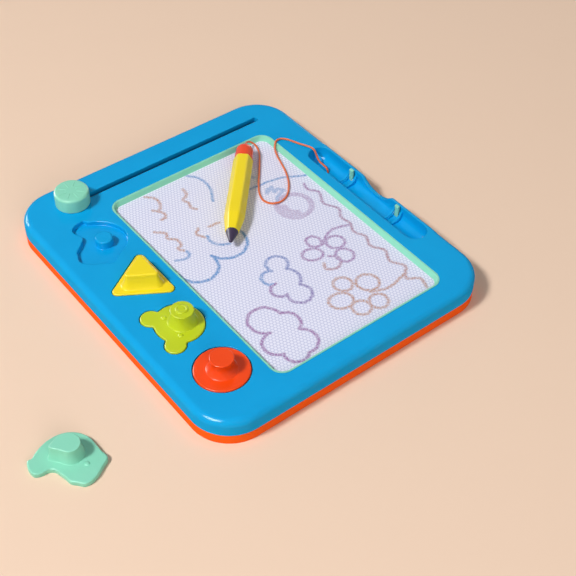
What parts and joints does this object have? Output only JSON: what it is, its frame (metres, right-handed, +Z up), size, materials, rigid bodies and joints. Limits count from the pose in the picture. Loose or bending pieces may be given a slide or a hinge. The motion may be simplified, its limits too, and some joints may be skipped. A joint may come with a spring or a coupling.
{
  "type": "magnetic drawing board",
  "caption": "Toy magnetic drawing board with a sliding eraser knob, a tethered magnetic pen in a front tray and shaped magnetic stamps stored in recesses along the back.",
  "frame": {"origin": "middle of the board's flat underside, on the table", "axes": "+Z up, +X to the right of the child who draws (the eraser knob's side), +Y away from the child (the stamps' side); the pen tray is on the -Y side"},
  "size_m": [0.356, 0.4466, 0.0445],
  "materials": {
    "blue_abs": "satin moulded ABS, bright sky blue",
    "orange_abs": "satin moulded ABS, warm orange",
    "mint_abs": "satin moulded ABS, pale mint",
    "yellow_abs": "satin moulded ABS, lemon yellow",
    "lime_abs": "satin moulded ABS, lime",
    "red_abs": "satin moulded ABS, orange-red",
    "white_abs": "natural white moulded plastic",
    "grey_abs": "dark grey moulded plastic",
    "plum_plastic": "dark plum moulded tip",
    "screen_film": "pale lavender white film with a fine cell pattern",
    "honeycomb": "honeycomb cells filled with thick grey liquid",
    "ferrite": "dark sintered ferrite magnet",
    "magnet_rubber": "flexible magnetic sheet",
    "screw_steel": "bright zinc plated",
    "cord": "braided polyester cord, orange"
  },
  "bodies": {
    "board": {"top_frame": "blue_abs", "back_cover": "orange_abs", "cover_screw_1": "screw_steel", "cover_screw_2": "screw_steel", "cover_screw_3": "screw_steel", "cover_screw_4": "screw_steel", "cover_screw_5": "screw_steel", "cover_screw_6": "screw_steel", "cover_screw_7": "screw_steel", "cover_screw_8": "screw_steel", "screen_bezel": "mint_abs", "screen_film": "screen_film", "honeycomb_core": "honeycomb", "screen_back_sheet": "screen_film", "screen_rail_left": "grey_abs", "screen_rail_right": "grey_abs", "rail_screw_left_1": "screw_steel", "rail_screw_left_2": "screw_steel", "rail_screw_left_3": "screw_steel", "rail_screw_right_1": "screw_steel", "rail_screw_right_2": "screw_steel", "rail_screw_right_3": "screw_steel", "pen_clip_1": "mint_abs", "pen_clip_2": "mint_abs", "pen_cord": "cord", "anchor_knot": "cord"},
    "eraser": {"eraser_bar": "white_abs", "eraser_magnet": "ferrite", "eraser_knob": "mint_abs", "knob_screw": "screw_steel"},
    "pen": {"pen_barrel": "yellow_abs", "pen_tip": "plum_plastic", "pen_magnet": "ferrite", "pen_cap": "red_abs", "pen_knot": "cord"},
    "circle": {"circle_stamp": "red_abs", "circle_magnet": "magnet_rubber"},
    "bear": {"bear_stamp": "lime_abs", "bear_magnet": "magnet_rubber"},
    "triangle": {"triangle_stamp": "yellow_abs", "triangle_magnet": "magnet_rubber"},
    "whale": {"whale_stamp": "mint_abs", "whale_magnet": "magnet_rubber"}
  },
  "joints": [
    {"name": "eraser_slide", "type": "slide", "parent": "board", "child": "eraser", "axis": [0, -1, 0], "range_m": [0, 0.2205]},
    {"name": "pen_lift", "type": "slide", "parent": "board", "child": "pen", "axis": [0, 0, 1], "range_m": [0, 0.06]},
    {"name": "circle_lift", "type": "slide", "parent": "board", "child": "circle", "axis": [0, 0, 1], "range_m": [0, 0.05]},
    {"name": "bear_lift", "type": "slide", "parent": "board", "child": "bear", "axis": [0, 0, 1], "range_m": [0, 0.05]},
    {"name": "triangle_lift", "type": "slide", "parent": "board", "child": "triangle", "axis": [0, 0, 1], "range_m": [0, 0.05]},
    {"name": "whale_lift", "type": "slide", "parent": "board", "child": "whale", "axis": [0, 0, 1], "range_m": [0, 0.05]}
  ]
}
